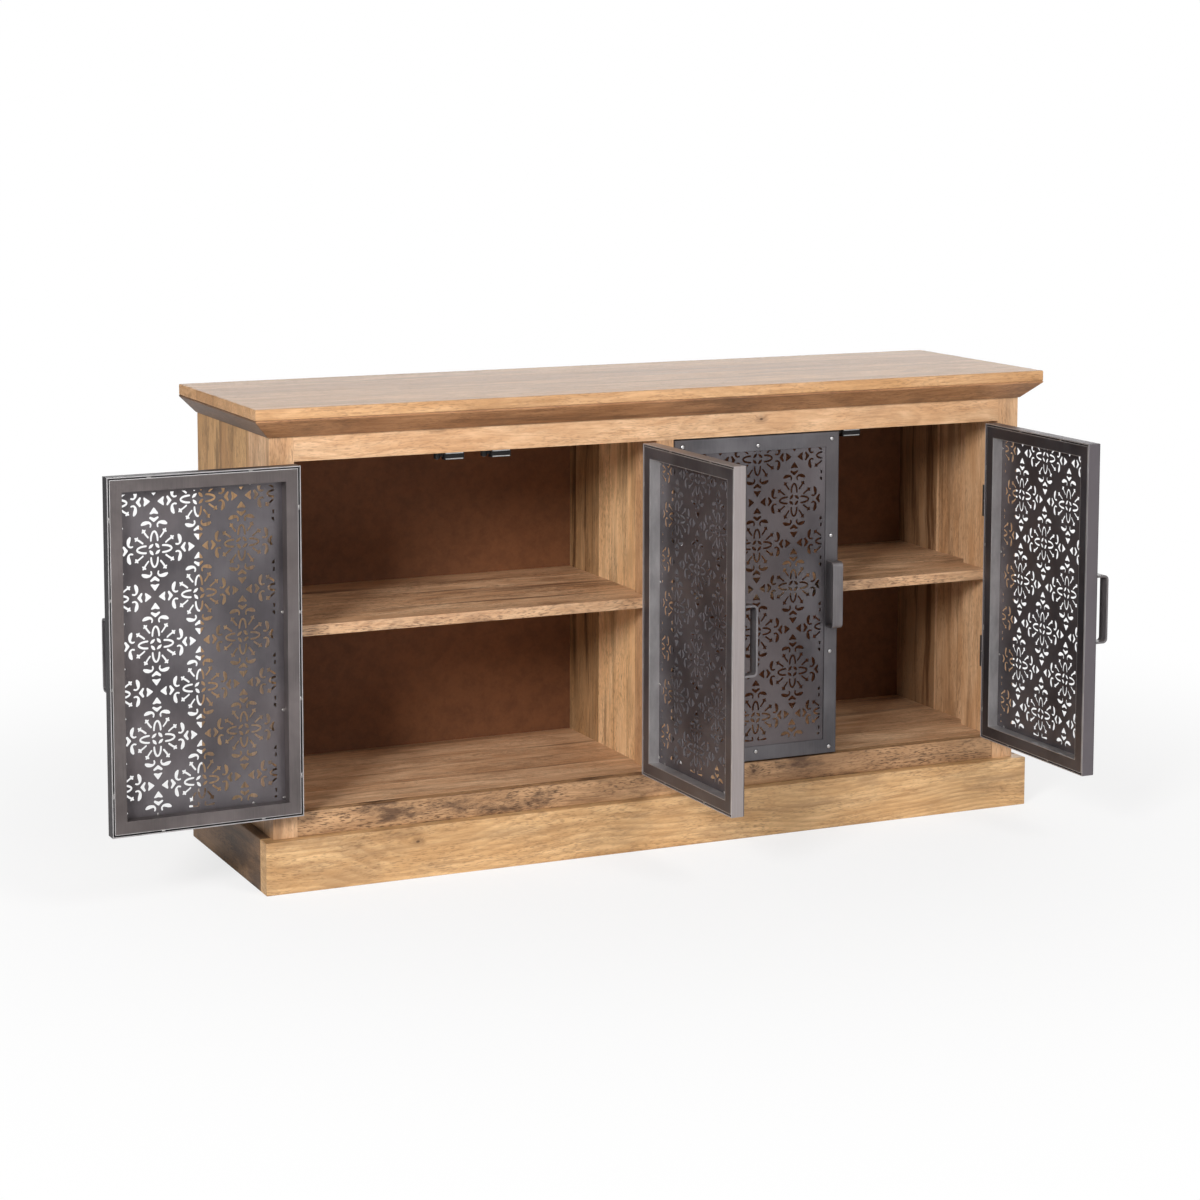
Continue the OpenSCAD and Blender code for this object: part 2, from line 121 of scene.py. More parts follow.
class Finish:
    """One procedural material and the nodes that make it."""

    def __init__(self, name, **uniform):
        self.material = bpy.data.materials.new(name)
        self.material.use_nodes = True
        self.tree = self.material.node_tree
        self.shader = self.tree.nodes["Principled BSDF"]
        for socket, value in uniform.items():
            self.shader.inputs[socket.replace("_", " ")].default_value = value

    def node(self, kind, settings, inputs, out=0):
        """Adds any shader node. Its inputs are numbers, colours or fields."""
        made = self.tree.nodes.new(kind)
        for key, value in settings.items():
            setattr(made, key, value)
        for key, value in inputs.items():
            if isinstance(value, Field):
                self.tree.links.new(value.socket, made.inputs[key])
            else:
                made.inputs[key].default_value = value
        return Field(self, made.outputs[out])

    def maths(self, operation, *values):
        return self.node("ShaderNodeMath", {"operation": operation}, dict(enumerate(values)))

    def place(self):
        """The piece's own X, Y and Z, in metres."""
        spot = self.node("ShaderNodeTexCoord", {}, {}, "Object")
        parts = self.node("ShaderNodeSeparateXYZ", {}, {"Vector": spot})
        return parts.out("X"), parts.out("Y"), parts.out("Z")

    def noise(self, x, y, z, detail=2.0, rough=0.5):
        spot = self.node("ShaderNodeCombineXYZ", {}, {"X": x, "Y": y, "Z": z})
        grit = {"Vector": spot, "Scale": 1.0, "Detail": detail, "Roughness": rough}
        return self.node("ShaderNodeTexNoise", {}, grit, "Fac")

    def ramp(self, value, low, high):
        """0 up to low and 1 from high on, with a smooth rise between."""
        span = {"Value": value, "From Min": low, "From Max": high}
        return self.node("ShaderNodeMapRange", {"interpolation_type": "SMOOTHSTEP"}, span)

    def mix(self, mask, first, second):
        return self.node("ShaderNodeMix", {"data_type": "RGBA"}, {0: mask, 6: first, 7: second}, 2)

    def feed(self, **fields):
        for socket, field in fields.items():
            self.tree.links.new(field.socket, self.shader.inputs[socket.replace("_", " ")])

    def bump(self, height, depth, strength=1.0):
        inputs = {"Height": height, "Distance": depth, "Strength": strength}
        self.feed(Normal=self.node("ShaderNodeBump", {}, inputs))

    def give(self, piece):
        piece.data.materials.clear()
        piece.data.materials.append(self.material)


def tint(red, green, blue):
    """A colour given in display values from 0 to 255."""
    return tuple((part / 255) ** 2.2 for part in (red, green, blue)) + (1.0,)


floor_reach = 30
lit_reach = (0.5, 2.2)
floor_wash = 0.72
bm = bmesh.new()
bmesh.ops.create_grid(bm, x_segments=4, y_segments=4, size=floor_reach)
floor = mesh_piece("floor", bm)
floor_finish = Finish("floor_paint", Roughness=0.9)
floor_x, floor_y, floor_z = floor_finish.place()
floor_cloud = floor_finish.noise(floor_x * 0.6, floor_y * 0.6, floor_z)
floor_finish.feed(Base_Color=floor_finish.mix(floor_cloud, tint(248, 248, 248), tint(252, 252, 252)))
floor_far = floor_finish.ramp((floor_x * floor_x + floor_y * floor_y) ** 0.5, *lit_reach)
floor_white = floor_far * (1 - floor_wash) + floor_wash
floor_seen = floor_finish.node("ShaderNodeLightPath", {}, {}, "Is Camera Ray")
floor_glow = floor_finish.node("ShaderNodeEmission", {}, {"Strength": 1.0}, "Emission")
floor_paint = Field(floor_finish, floor_finish.shader.outputs["BSDF"])
floor_mixed = floor_finish.node(
    "ShaderNodeMixShader", {}, {0: floor_white * floor_seen, 1: floor_paint, 2: floor_glow}, "Shader")
floor_finish.tree.links.new(
    floor_mixed.socket, floor_finish.tree.nodes["Material Output"].inputs["Surface"])
floor_finish.give(floor)

bpy.context.scene.view_settings.view_transform = "Standard"
room_seen = 1.0
room_light = 0.08
world = bpy.data.worlds.new("room")
world.use_nodes = True
room = world.node_tree
room.nodes["Background"].inputs["Color"].default_value = (1, 1, 1, 1)
ray = room.nodes.new("ShaderNodeLightPath")
level = room.nodes.new("ShaderNodeMapRange")
level.inputs["To Min"].default_value = room_light
level.inputs["To Max"].default_value = room_seen
room.links.new(ray.outputs["Is Camera Ray"], level.inputs["Value"])
room.links.new(level.outputs["Result"], room.nodes["Background"].inputs["Strength"])
bpy.context.scene.world = world


def softbox(name, where, aim, width, height, radiance):
    """A rectangular light that the camera doesn't see. radiance is how bright its face is."""
    data = bpy.data.lights.new(name, "AREA")
    data.shape = "RECTANGLE"
    data.size = width
    data.size_y = height
    data.energy = radiance * math.pi * width * height
    lamp = bpy.data.objects.new(name, data)
    lamp.location = where
    lamp.rotation_euler = (Vector(aim) - Vector(where)).to_track_quat("-Z", "Y").to_euler()
    lamp.visible_camera = False
    bpy.context.collection.objects.link(lamp)


softbox("key_light", (-5.5, -5.2, 3.5), (0, 0, 0.5), 1.9, 2.1, 43.0)
softbox("front_light", (1.2, -4.3, 4.2), (0, 0, 0.4), 2.0, 2.0, 9.0)
softbox("front_card", (1.6, -4.4, 1.3), (0.1, 0, 0.5), 2.6, 2.4, 0.9)
softbox("back_card", (1.8, 4.6, 1.3), (0, 0, 0.6), 6.0, 2.4, 2.8)


# ---- Plinth ----
# Four boards of solid mango wood round the foot of the cabinet, butted at the corners, with a
# bearer and four glue blocks inside. The front board has the boldest figure, and the ones at the
# two ends are darker and more stained. The left one is darker again: its tones carry painted
# shade as well as figure.
def eased(node, radius, segments=2):
    """A CAD node's object, with its edges rounded a little by modifiers. Its stored normals are
    cleared first, so that the rounding shows."""
    piece = frame["nodes"][node]
    piece.data.normals_split_custom_set([(0, 0, 0)] * len(piece.data.loops))
    piece.data.polygons.foreach_set("use_smooth", [False] * len(piece.data.polygons))
    weld = piece.modifiers.new("weld", "WELD")
    weld.merge_threshold = 0.00002
    flat = piece.modifiers.new("flat", "DECIMATE")
    flat.decimate_type = "DISSOLVE"
    flat.angle_limit = math.radians(0.6)
    ease = piece.modifiers.new("ease", "BEVEL")
    ease.width = radius
    ease.segments = segments
    ease.limit_method = "ANGLE"
    ease.angle_limit = math.radians(40)
    return piece


ring_gap = 0.012
knot_dark = tint(66, 40, 26)
dark_fade = 0.003
seam_core = 0.0003
seam_edge = 0.0008


def wood(node, grain, across, tones, stave, seed, knots=(), figure=0.5, stains=0.4, streaks=0.5,
         flecks=0.4, gloss=0.42, dark_from=None):
    """Solid wood in glued staves: soft patches drawn out along the grain, faint rings round a heart
    line, streaks, fine fibres and short dark flecks, cut afresh in each stave. Distances across the
    board count from its middle: past a given distance it is darker and more streaky. On the
    partition this is darker figure, and on the right side panel it is painted shade."""
    finish = Finish(node + "_wood", Specular_IOR_Level=0.5)
    axes = dict(zip("xyz", finish.place()))
    low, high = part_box(node)
    middle = dict(zip("xyz", (low + high) / 2))
    third = ({"x", "y", "z"} - {grain, across}).pop()
    along = axes[grain] - middle[grain]
    side = axes[across] - middle[across]
    deep = axes[third] - middle[third]

    stave_shift = 0.37 * seed
    count = side / stave + stave_shift
    number = count.maths("FLOOR")
    lot = finish.node(
        "ShaderNodeTexWhiteNoise", {"noise_dimensions": "1D"}, {"W": number + seed}, "Color")
    draw = finish.node("ShaderNodeSeparateColor", {}, {"Color": lot})
    draw_a, draw_b, draw_c = draw.out("Red"), draw.out("Green"), draw.out("Blue")

    halo = 0.0
    core = 0.0
    for spot_along, spot_side, radius in knots:
        reach = (((along - spot_along) * 0.6) ** 2 + (side - spot_side) ** 2) ** 0.5
        halo = 1 - finish.ramp(reach, radius, radius * 4) + halo
        core = 1 - finish.ramp(reach, radius * 0.4, radius) + core

    start = along + draw_a * 37
    drift = finish.noise(start * 3, side * 7 + draw_b * 9, deep * 7 + seed, 2.0) - 0.5
    line_side = side + drift * 0.035 + halo * 0.006
    line_deep = deep + drift * 0.02
    off = side - (number + 0.5 - stave_shift) * stave + (draw_a - 0.5) * 0.06
    down = deep + 0.02 + draw_b * 0.05
    warp = finish.noise(start * 1.6, side * 4, deep * 4 + seed, 2.0)
    heart = (off * off + down * down) ** 0.5 + (warp - 0.5) * 0.2 + drift * 0.02 + halo * 0.01
    ring = (heart / ring_gap).maths("FRACT")
    late = finish.ramp(ring, 0.1, 0.8) * (1 - finish.ramp(ring, 0.8, 1.0))

    # Past this line the wood darkens and streaks: darker figure on the partition, painted shade on the
    # right side panel.
    if dark_from is not None:
        strip = finish.ramp(side, dark_from - dark_fade, dark_from)
        streaks = strip * 0.6 + streaks

    cloud = finish.noise(start * 6, line_side * 24, line_deep * 24 + seed, 6.0, 0.6)
    blot = finish.noise(start * 6 + 5, line_side * 18, line_deep * 18 - seed, 8.0, 0.72)
    vein = finish.noise(start * 1.2, line_side * 26 + seed, line_deep * 26, 6.0, 0.66)
    band = finish.noise(start * 9, line_side * 190, line_deep * 190 + seed, 4.0, 0.7)
    fibre = finish.noise(start * 30, line_side * 520, line_deep * 520, 2.0, 0.7)
    broad = finish.noise(start * 1.4, line_side * 9 + seed, line_deep * 9, 3.0)
    speck = finish.noise(start * 90, line_side * 460, line_deep * 460 + seed, 2.0)
    fleck = finish.ramp(speck, 0.48, 0.68)
    fleck_cloud = finish.noise(start * 7 + 9, side * 26, deep * 26, 3.0)
    where_fleck = finish.ramp(fleck_cloud, 0.36, 0.6)
    edge = (count.maths("FRACT") - 0.5).maths("ABSOLUTE")
    seam = finish.ramp(edge, 0.5 - seam_edge / stave, 0.5 - seam_core / stave)

    colour = finish.mix(finish.ramp(cloud, 0.36, 0.66), tones["pale"], tones["mid"])
    colour = finish.mix(finish.ramp(broad, 0.46, 0.64) * 0.6 * stains, colour, tones["late"])
    colour = finish.mix(late * figure * (0.1 + warp * 0.6), colour, tones["late"])
    colour = finish.mix((draw_c - 0.3).maths("MAXIMUM", 0.0) * 0.7, colour, tones["late"])
    # The darkening strip: real figure on the partition, painted shade on the right side panel.
    if dark_from is not None:
        colour = finish.mix(strip * (broad * 0.6 + 0.45), colour, tones["stain"])
    colour = finish.mix(finish.ramp(band, 0.45, 0.7) * 0.55, colour, tones["late"])
    colour = finish.mix(finish.ramp(blot, 0.49, 0.64) * stains, colour, tones["stain"])
    colour = finish.mix(finish.ramp(vein, 0.53, 0.66) * 0.85 * streaks, colour, tones["streak"])
    colour = finish.mix(fleck * (where_fleck * 0.8 + 0.2) * flecks, colour, tones["streak"])
    colour = finish.mix(finish.ramp(fibre, 0.4, 0.8) * 0.3, colour, tones["late"])
    if knots:
        colour = finish.mix(halo * 0.4, colour, tones["streak"])
        colour = finish.mix(core * 0.8, colour, knot_dark)
    colour = finish.mix(seam * 0.45, colour, tones["streak"])
    finish.feed(Base_Color=colour, Roughness=gloss + fibre * 0.16 - cloud * 0.08)
    finish.bump(late * 0.15 + fibre * 0.5 - fleck * 0.6 - seam * 0.8, 0.0003, 0.7)
    return finish


def board(node, grain, across, tones, stave, seed, ease=0.0016, segments=2, **look):
    """Gives a wooden CAD node its own wood, and eases its edges."""
    wood(node, grain, across, tones, stave, seed, **look).give(eased(node, ease, segments))


# Stave widths that leave a board in one or two pieces
plank = 0.4
slim_plank = 0.3
plinth_tones = {
    "pale": tint(230, 190, 140), "mid": tint(206, 162, 112), "late": tint(168, 126, 82),
    "stain": tint(132, 102, 74), "streak": tint(92, 64, 42)}
board("plinth_front", "x", "z", plinth_tones, plank, 3.1, knots=[(-0.5, 0.02, 0.003)],
      figure=1.0, stains=0.35, streaks=0.3, flecks=0.45)
marked = {
    "pale": tint(204, 162, 120), "mid": tint(174, 134, 96), "late": tint(132, 96, 66),
    "stain": tint(100, 74, 54), "streak": tint(60, 40, 28)}
# Tones for the left end board: darker figure, with painted shade from the open door in front of it.
dull_and_shaded = {
    "pale": tint(158, 124, 90), "mid": tint(130, 99, 70), "late": tint(98, 72, 50),
    "stain": tint(74, 54, 38), "streak": tint(44, 30, 20)}
for seed, node, tones in ((4.2, "plinth_left", dull_and_shaded), (5.3, "plinth_right", marked)):
    board(node, "y", "z", tones, plank, seed, figure=0.4, stains=0.9, streaks=0.7, flecks=0.7)
board("plinth_back", "x", "z", plinth_tones, plank, 6.4)
board("plinth_bearer", "y", "z", plinth_tones, plank, 7.5)
board("plinth_glue_blocks", "z", "x", plinth_tones, slim_plank, 8.6)


# ---- Front frame ----
# Two end posts, a centre stile and two rails of solid wood, flush in front and glued. The posts'
# and stile's grain runs upright and the rails' runs along. The bottom rail is the most marked.
honey = {
    "pale": tint(230, 190, 150), "mid": tint(208, 162, 120), "late": tint(170, 124, 84),
    "stain": tint(142, 108, 78), "streak": tint(92, 62, 40)}
for seed, node in ((1.3, "left_post"), (2.7, "right_post"), (3.9, "centre_stile")):
    board(node, "z", "y", honey, plank, seed)
board("top_rail", "x", "z", honey, plank, 4.4, knots=[(-0.45, 0.008, 0.004), (0.2, -0.01, 0.003)],
      figure=0.6, stains=0.2, streaks=0.2, flecks=0.3)
board("bottom_rail", "x", "z", marked, plank, 9.1, knots=[(0.19, 0.006, 0.004)],
      figure=0.6, stains=1.0, streaks=0.9, flecks=0.8)


# ---- Carcass ----
# Side panels, partition and bottom board are glued up from staves about a hand wide. Their seams
# show as fine lines where the colour changes from stave to stave. Towards the back the partition
# is of darker wood, and the right panel is darkened with painted shade. The partition's pale
# tones carry painted light.
stave_w = 0.078
olive = {
    "pale": tint(226, 182, 128), "mid": tint(198, 152, 104), "late": tint(156, 114, 74),
    "stain": tint(118, 92, 62), "streak": tint(66, 46, 28)}
# Paler tones for the partition than for the other panels. The extra paleness is painted light for the
# strong light on its front. Its stain and streak tones are its darker figure at the back.
bright = {
    "pale": tint(250, 214, 168), "mid": tint(240, 196, 146), "late": tint(214, 164, 114),
    "stain": tint(96, 68, 38), "streak": tint(66, 42, 22)}
for seed, node, tones, knots, stains, dark_from in (
        (2.2, "left_side_panel", olive, (), 0.8, None),
        # The right panel's back half is darkened as painted shade, for the shadow the doors cast there.
        (6.1, "right_side_panel", honey, (), 0.5, -0.01),
        (8.3, "partition", bright, [(0.235, 0.1, 0.008)], 0.3, 0.045)):
    board(node, "z", "y", tones, stave_w, seed, knots=knots, stains=stains,
          streaks=0.6, flecks=0.5, dark_from=dark_from)
rosy = {
    "pale": tint(240, 202, 162), "mid": tint(216, 172, 132), "late": tint(170, 124, 88),
    "stain": tint(138, 106, 80), "streak": tint(78, 50, 34)}
board("bottom_board", "x", "y", rosy, stave_w, 5.6, streaks=0.6)


# ---- Shelves ----
# One fixed shelf each side of the partition, glued up from staves that run along its length.
for seed, node in ((1.9, "left_shelf"), (7.7, "right_shelf")):
    board(node, "x", "y", rosy, stave_w, seed, figure=0.6, stains=0.6, streaks=0.9, flecks=0.7)


# ---- Backs ----
# Two sheets of brown fibreboard are screwed into rebates from behind, and into a solid rail under
# the top. The board is matt with faint pressed fibres.
board_brown = tint(122, 78, 48)
board_dark = tint(88, 54, 32)
back_finish = Finish("fibreboard", Roughness=0.72)
back_x, back_y, back_z = back_finish.place()
back_cloud = back_finish.noise(back_x * 3, back_y * 3, back_z * 3, 5.0, 0.6)
back_fleck = back_finish.noise(back_x * 190, back_y * 190, back_z * 190, 3.0, 0.7)
back_mottle = back_finish.noise(back_x * 34, back_y * 34, back_z * 34, 5.0, 0.7)
back_clouds = back_finish.ramp(back_cloud, 0.35, 0.65) * 0.4
back_spots = back_finish.ramp(back_mottle, 0.38, 0.66) * 0.35
back_dark = back_clouds + back_spots + (back_fleck - 0.4) * 0.6
back_finish.feed(Base_Color=back_finish.mix(back_dark, board_brown, board_dark))
back_finish.bump(back_fleck, 0.0002, 0.5)
for node in ("left_back_panel", "right_back_panel"):
    back_finish.give(eased(node, radius=0.0006, segments=1))
board("rear_rail", "x", "z", honey, plank, 3.3)


# ---- Top ----
# A slab of boards glued edge to edge, oiled to a soft sheen. It has fewer stains and streaks than
# the panels below, and its edges are rounded a little more.
top_stave = 0.104
top_tones = {
    "pale": tint(224, 178, 132), "mid": tint(204, 156, 108), "late": tint(170, 122, 80),
    "stain": tint(152, 112, 76), "streak": tint(102, 70, 44)}
board("top_slab", "x", "y", top_tones, top_stave, 2.4, ease=0.002, segments=3,
      figure=0.6, stains=0.3, streaks=0.35, gloss=0.38)


# ---- Crown moulding ----
# Three lengths of slanted moulding under the slab, mitred at the front corners. The front one is a
# shade browner than the frame, and the two at the ends are darker still.
crown_tones = {
    "pale": tint(190, 140, 98), "mid": tint(162, 114, 76), "late": tint(124, 82, 52),
    "stain": tint(108, 76, 52), "streak": tint(70, 44, 30)}
dusky = {
    "pale": tint(148, 118, 94), "mid": tint(126, 97, 75), "late": tint(98, 71, 52),
    "stain": tint(86, 66, 50), "streak": tint(54, 37, 26)}
for seed, node, grain, tones in (
        (4.9, "crown_front", "x", crown_tones),
        (5.8, "crown_left", "y", dusky),
        (6.7, "crown_right", "y", dusky)):
    board(node, grain, "z", tones, slim_plank, seed, ease=0.0008, stains=0.6)


# ---- Catches ----
# Four magnetic catches under the top rail: black moulded cases, each with two steel pole plates
# and one screw through its lug. The plates, the hinge pins and the other screws are zinc-plated.
plastic = Finish("catch_plastic_black", Specular_IOR_Level=0.4)
plastic_x, plastic_y, plastic_z = plastic.place()
plastic_grain = plastic.noise(plastic_x * 900, plastic_y * 900, plastic_z * 900, 2.0)
plastic.feed(
    Base_Color=plastic.mix(plastic_grain, tint(24, 24, 25), tint(42, 41, 42)),
    Roughness=0.42 + plastic_grain * 0.2)
plastic.bump(plastic_grain, 0.0001, 0.4)
plastic.give(eased("catch_bodies", radius=0.0007))

zinc = Finish("zinc_plate", Metallic=1.0)
zinc_x, zinc_y, zinc_z = zinc.place()
zinc_cloud = zinc.noise(zinc_x * 260, zinc_y * 260, zinc_z * 260, 3.0)
zinc.feed(
    Base_Color=zinc.mix(zinc_cloud, tint(222, 224, 226), tint(176, 176, 174)),
    Roughness=0.22 + zinc_cloud * 0.22)
zinc.give(eased("catch_pole_plates", radius=0.0003, segments=1))
for node in ("back_panel_screws", "hinge_screws", "hinge_pins"):
    zinc.give(frame["nodes"][node])


# ---- Doors: where they hang ----
# Each door turns on its hinge joint. It is built in its own frame, whose origin is on the hinge
# axis at the door's bottom edge, with y into the closed door. All four are the size of door_3,
# which rests closed.
class Door:
    """One door. Its joint's lower limit shuts it, and so says how far open it rests."""

    def __init__(self, number):
        self.name = f"door_{number}"
        joint = next(j for j in frame["joints"] if j["child"] == self.name)
        self.hand = -joint["axis"][2]
        opened = math.radians(-joint["range_deg"][0])
        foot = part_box(self.name + "_frame")[0].z
        pivot = Vector((joint["pos_m"][0], joint["pos_m"][1], foot))
        self.matrix = Matrix.Translation(pivot) @ Matrix.Rotation(-self.hand * opened, 4, "Z")

    def hang(self, name, bm, node, slot, finish, smooth=False):
        """Turns a mesh of (u, n, z) points, with u towards the free edge, into this door's piece."""
        if self.hand < 0:
            for vert in bm.verts:
                vert.co.x = -vert.co.x
            bmesh.ops.reverse_faces(bm, faces=bm.faces)
        piece = mesh_piece(f"{self.name}_{name}", bm, smooth)
        piece.matrix_world = self.matrix
        finish.give(piece)
        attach(piece, self.name)
        if node:
            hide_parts(f"{self.name}_{node}")
        return piece


doors = [Door(number) for number in (1, 2, 3, 4)]
shut_low, shut_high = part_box("door_3_frame")
shut_pivot = doors[2].matrix.translation
near_u = shut_low.x - shut_pivot.x
far_u = shut_high.x - shut_pivot.x
face_n = shut_low.y - shut_pivot.y
back_n = shut_high.y - shut_pivot.y
door_h = shut_high.z - shut_low.z
middle_u = (near_u + far_u) / 2
door_w = far_u - near_u


# ---- Doors: outer frames ----
# Folded from dark steel sheet: a flat border in front and a deep rim round the edge, welded and
# ground at the corners. Each rim's tone differs from door to door as painted light and shade,
# and its back edge carries a painted highlight.
border_w = 0.028
fold_t = 0.002
fold_r = 0.0022
fold_ease = 0.0004
rim_start = face_n + fold_r
rim_fade = 0.0008
lip_w = 0.0003
highlight_w = 0.0005
highlight_reach = 0.0018
# Colour of the painted highlight lines along the doors' edges.
edge_highlight = tint(206, 203, 203)


def steel(name, dark, light, warm, seed, rough=0.4, brush=1.0, rim=None, highlight_lines=()):
    """Satin steel: cloudy tone with a warm cast in places, and brush marks along the door's height.
    An outer frame's rim takes the given tone, which paints its light and shade, and a painted
    highlight along its back edge. Painted highlight lines run at the given distances in from the
    door's edges."""
    finish = Finish(name, Metallic=0.75)
    u, n, z = finish.place()
    cloud = finish.noise(u * 9 + seed, n * 9, z * 7, 4.0, 0.55)
    cast = finish.noise(u * 4, n * 4 + seed, z * 3.2, 2.0)
    line = finish.noise(u * 520, n * 520, z * 14 + seed, 3.0, 0.65)
    scuff = finish.noise(u * 38, n * 38 + seed, z * 16, 4.0, 0.7)
    tone = finish.ramp(cloud, 0.3, 0.72) * 0.62 + (line - 0.5) * 0.5 * brush + scuff * 0.24
    colour = finish.mix(tone.maths("MINIMUM", 1.0), dark, light)
    colour = finish.mix(finish.ramp(cast, 0.45, 0.7) * 0.5, colour, warm)
    if rim:
        behind = finish.ramp(n, rim_start, rim_start + rim_fade)
        colour = finish.mix(behind * (0.8 + (line - 0.5) * 0.5), colour, rim)
        # Painted highlight along the rim's back edge.
        lip_highlight = finish.ramp(n, back_n - rim_fade, back_n - lip_w)
        colour = finish.mix(lip_highlight * (scuff * 0.8 + 0.3), colour, edge_highlight)
    if highlight_lines:
        across = door_w / 2 - (u.maths("ABSOLUTE") - middle_u).maths("ABSOLUTE")
        inset = across.maths("MINIMUM", door_h / 2 - (z - door_h / 2).maths("ABSOLUTE"))
        # Painted highlight lines at the given distances in from the door's edges.
        for edge in highlight_lines:
            near = 1 - finish.ramp((inset - edge).maths("ABSOLUTE"), highlight_w, highlight_reach)
            colour = finish.mix(near * (scuff * 0.9 + 0.35), colour, edge_highlight)
    finish.feed(Base_Color=colour, Roughness=rough + scuff * 0.16 + (line - 0.5) * 0.22)
    finish.bump(line * 0.7 + scuff, 0.00012, 0.6)
    return finish


def swept_ring(profile):
    """A mitred ring round the door. The profile is (distance in from the door's edges, n) points."""
    bm = bmesh.new()
    loops = []
    for end_u, step_u, end_z, step_z in (
            (near_u, 1, 0, 1), (far_u, -1, 0, 1), (far_u, -1, door_h, -1), (near_u, 1, door_h, -1)):
        corner = [(end_u + step_u * inset, n, end_z + step_z * inset) for inset, n in profile]
        loops.append([bm.verts.new(spot) for spot in corner])
    for a, b in zip(loops, loops[1:] + loops[:1]):
        for i in range(len(profile)):
            j = (i + 1) % len(profile)
            bm.faces.new((a[i], a[j], b[j], b[i]))
    bmesh.ops.recalc_face_normals(bm, faces=bm.faces)
    return bm


def soften(piece, radius, segments=2):
    """Rounds the edges of a built piece."""
    ease = piece.modifiers.new("ease", "BEVEL")
    ease.width = radius
    ease.segments = segments
    ease.limit_method = "ANGLE"
    ease.angle_limit = math.radians(35)


bend = [math.radians(a) for a in (0, 30, 60, 90)]
frame_profile = [(border_w, face_n)]
frame_profile += [(fold_r * (1 - math.sin(a)), face_n + fold_r * (1 - math.cos(a))) for a in bend]
frame_profile += [(0, back_n), (fold_t, back_n), (fold_t, face_n + fold_t), (border_w, face_n + fold_t)]
# Each door's rim tone is painted light and shade: bright where its rim faces the light, dark where it
# lies in shade.
rim_light_and_shade = (tint(72, 70, 72), tint(176, 166, 164), tint(130, 125, 127), tint(118, 111, 115))
for number, (door, rim_light_tone) in enumerate(zip(doors, rim_light_and_shade)):
    finish = steel(
        f"{door.name}_border_steel", tint(84, 82, 85), tint(128, 125, 128), tint(112, 102, 100),
        number * 3.7, rim=rim_light_tone)
    ring = swept_ring(frame_profile)
    soften(door.hang("outer_frame", ring, "frame", "door_steel", finish), fold_ease)


# ---- Doors: ornamental sheets ----
# A thin steel sheet behind each border, cut through in a lattice of four-armed rosettes. The cut
# field is a plain rectangle, so the rosettes at its edges are cut off. Three of the four sheets sit
# a few millimetres off, as hand-fitted ones do.
def spread(low, high, steps):
    """Evenly spaced values from low to high, both included."""
    return [low + (high - low) * i / steps for i in range(steps + 1)]


def curve_through(points, steps=3):
    """Points on a smooth curve through the given ones, which carry (across, out, half width)."""
    ends = [points[0]] + points + [points[-1]]
    found = []
    for p0, p1, p2, p3 in zip(ends, ends[1:], ends[2:], ends[3:]):
        for i in range(steps):
            t = i / steps
            found.append(tuple(
                0.5 * (2 * b + (c - a) * t + (2 * a - 5 * b + 4 * c - d) * t ** 2
                       + (3 * b - a - 3 * c + d) * t ** 3)
                for a, b, c, d in zip(p0, p1, p2, p3)))
    return found + [points[-1]]


def stroke(points, steps=3):
    """Outline of a cut with round ends along a curved line."""
    line = curve_through(points, steps)
    left, right, headings = [], [], []
    for i, (x, y, r) in enumerate(line):
        ahead, behind = line[min(i + 1, len(line) - 1)], line[max(i - 1, 0)]
        heading = math.atan2(ahead[1] - behind[1], ahead[0] - behind[0])
        left.append((x - r * math.sin(heading), y + r * math.cos(heading)))
        right.append((x + r * math.sin(heading), y - r * math.cos(heading)))
        headings.append(heading)

    def cap(spot, start):
        x, y, r = spot
        turns = [start + t for t in spread(0, -math.pi, 4)[1:-1]]
        return [(x + r * math.cos(t), y + r * math.sin(t)) for t in turns]

    far_cap = cap(line[-1], headings[-1] + math.pi / 2)
    near_cap = cap(line[0], headings[0] - math.pi / 2)
    return left + far_cap + right[::-1] + near_cap


def rounded(corners, radius):
    """A polygon with each corner cut by a short curve."""
    found = []
    for before, here, after in zip(corners[-1:] + corners[:-1], corners, corners[1:] + corners[:1]):
        here, before, after = Vector(here), Vector(before), Vector(after)
        start = here + (before - here).normalized() * min(radius, (before - here).length / 2)
        end = here + (after - here).normalized() * min(radius, (after - here).length / 2)
        for t in (0, 0.5, 1):
            spot = start * (1 - t) ** 2 + here * 2 * t * (1 - t) + end * t ** 2
            found.append((spot.x, spot.y))
    return found


def lobed(x, y, radius, depth, turn):
    """A small four-lobed bud."""
    found = []
    for t in spread(0, 2 * math.pi, 20)[:-1]:
        r = radius + depth * math.cos(4 * (t - turn))
        found.append((x + r * math.cos(t), y + r * math.sin(t)))
    return found


# One arm of the rosette, in millimetres from its middle: x across the arm and y out along it. The
# leaf, the stem and the bud stand on both sides of the arm.
spear = rounded([(0, 73), (8.9, 60.6), (4.6, 60), (0, 61.8), (-4.6, 60), (-8.9, 60.6)], 2.4)
chevron = rounded([(0, 46), (9.2, 53.8), (7.2, 56.8), (0, 53.4), (-7.2, 56.8), (-9.2, 53.8)], 1.8)
half_loop = [(-6, 14.8, 1.7), (-5.8, 19, 1.9), (-4.9, 24, 1.9), (-2.8, 28.8, 1.9)]
loop = stroke(half_loop + [(0, 30.8, 1.8)] + [(-x, y, r) for x, y, r in half_loop[::-1]], 2)
petal = stroke([(2.9, 7.8, 1.5), (6, 5.2, 2.9), (9, 2.6, 1.5)], 2)
leaf = stroke([
    (6.6, 38.6, 1.6), (5.9, 42.3, 1.7), (8.6, 45.6, 2.1), (13.3, 46, 3.1), (18.4, 44.9, 3.4),
    (21.8, 43.2, 2.1)])
stem = stroke([(11, 20.6, 1.7), (14.2, 24.6, 1.7), (17, 28.6, 1.8)], 2)
